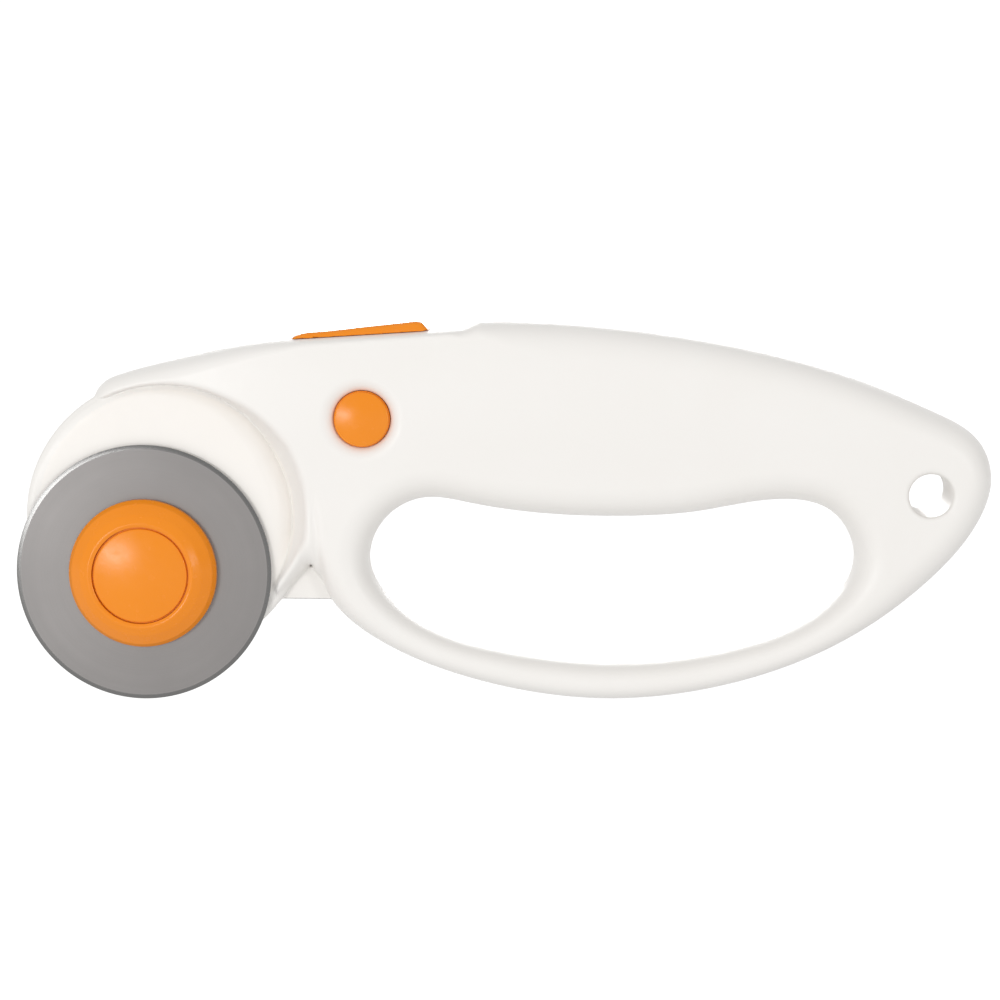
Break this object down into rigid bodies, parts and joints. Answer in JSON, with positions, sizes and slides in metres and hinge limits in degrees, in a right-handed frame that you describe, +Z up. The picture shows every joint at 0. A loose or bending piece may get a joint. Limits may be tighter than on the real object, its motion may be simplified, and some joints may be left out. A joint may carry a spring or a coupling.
{
  "type": "rotary cutter",
  "caption": "Handheld rotary cutter: round blade under a quick-release hub, retracting guard head, thumb slider, side lock button and closed finger-loop handle.",
  "frame": {"origin": "bottom centre of the bounding box, on the surface that the blade's edge and the bottom of the loop touch", "axes": "+X from the blade to the tail along the handle, +Y along the blade's axle from front to back, +Z up from the cutting edge to the thumb slider"},
  "size_m": [0.228, 0.0254, 0.0898],
  "materials": {
    "shell_white": "satin moulded white plastic",
    "button_orange": "satin orange plastic",
    "blade_steel": "ground tool steel",
    "steel_plated": "bright zinc plate",
    "spring_steel": "polished spring wire",
    "acetal_dark": "dark acetal"
  },
  "bodies": {
    "housing": {"front_shell": "shell_white", "back_shell": "shell_white", "housing_screws": "steel_plated", "carriage_keepers": "steel_plated", "keeper_screws": "steel_plated", "slide_detent_spring": "spring_steel", "lock_detent_clip": "spring_steel"},
    "slider": {"thumb_slider": "button_orange", "slider_pin": "steel_plated", "slide_bar": "steel_plated"},
    "carriage": {"carrier_plate": "acetal_dark", "spindle": "steel_plated", "drive_pin": "steel_plated", "wave_washer": "spring_steel", "hub_ring": "button_orange", "hub_latch_clip": "spring_steel", "hub_spring": "spring_steel"},
    "blade_disc": {"blade": "blade_steel"},
    "hub_cap": {"hub_button": "button_orange"},
    "lock": {"lock_button_front": "button_orange", "lock_button_back": "button_orange"}
  },
  "joints": [
    {"name": "slider_slide", "type": "slide", "parent": "housing", "child": "slider", "axis": [0.9977, 0, 0.068], "range_m": [0, 0.008], "deforming": ["slide_detent_spring"]},
    {"name": "carriage_slide", "type": "slide", "parent": "housing", "child": "carriage", "axis": [0.3688, 0, 0.9295], "range_m": [0, 0.0128]},
    {"name": "blade_spin", "type": "hinge", "parent": "carriage", "child": "blade_disc", "pos_m": [-0.084, 0, 0.03], "axis": [0, 1, 0], "continuous": true},
    {"name": "hub_button_press", "type": "slide", "parent": "carriage", "child": "hub_cap", "axis": [0, 1, 0], "range_m": [0, 0.0015], "stiffness_N_per_m": 1500, "springref_m": -0.001, "deforming": ["hub_spring"]},
    {"name": "lock_press", "type": "slide", "parent": "housing", "child": "lock", "axis": [0, 1, 0], "range_m": [0, 0.0025], "deforming": ["lock_detent_clip"]}
  ],
  "couplings": [
    {"joint": "carriage_slide", "follows": "slider_slide", "ratio": 1.6}
  ]
}
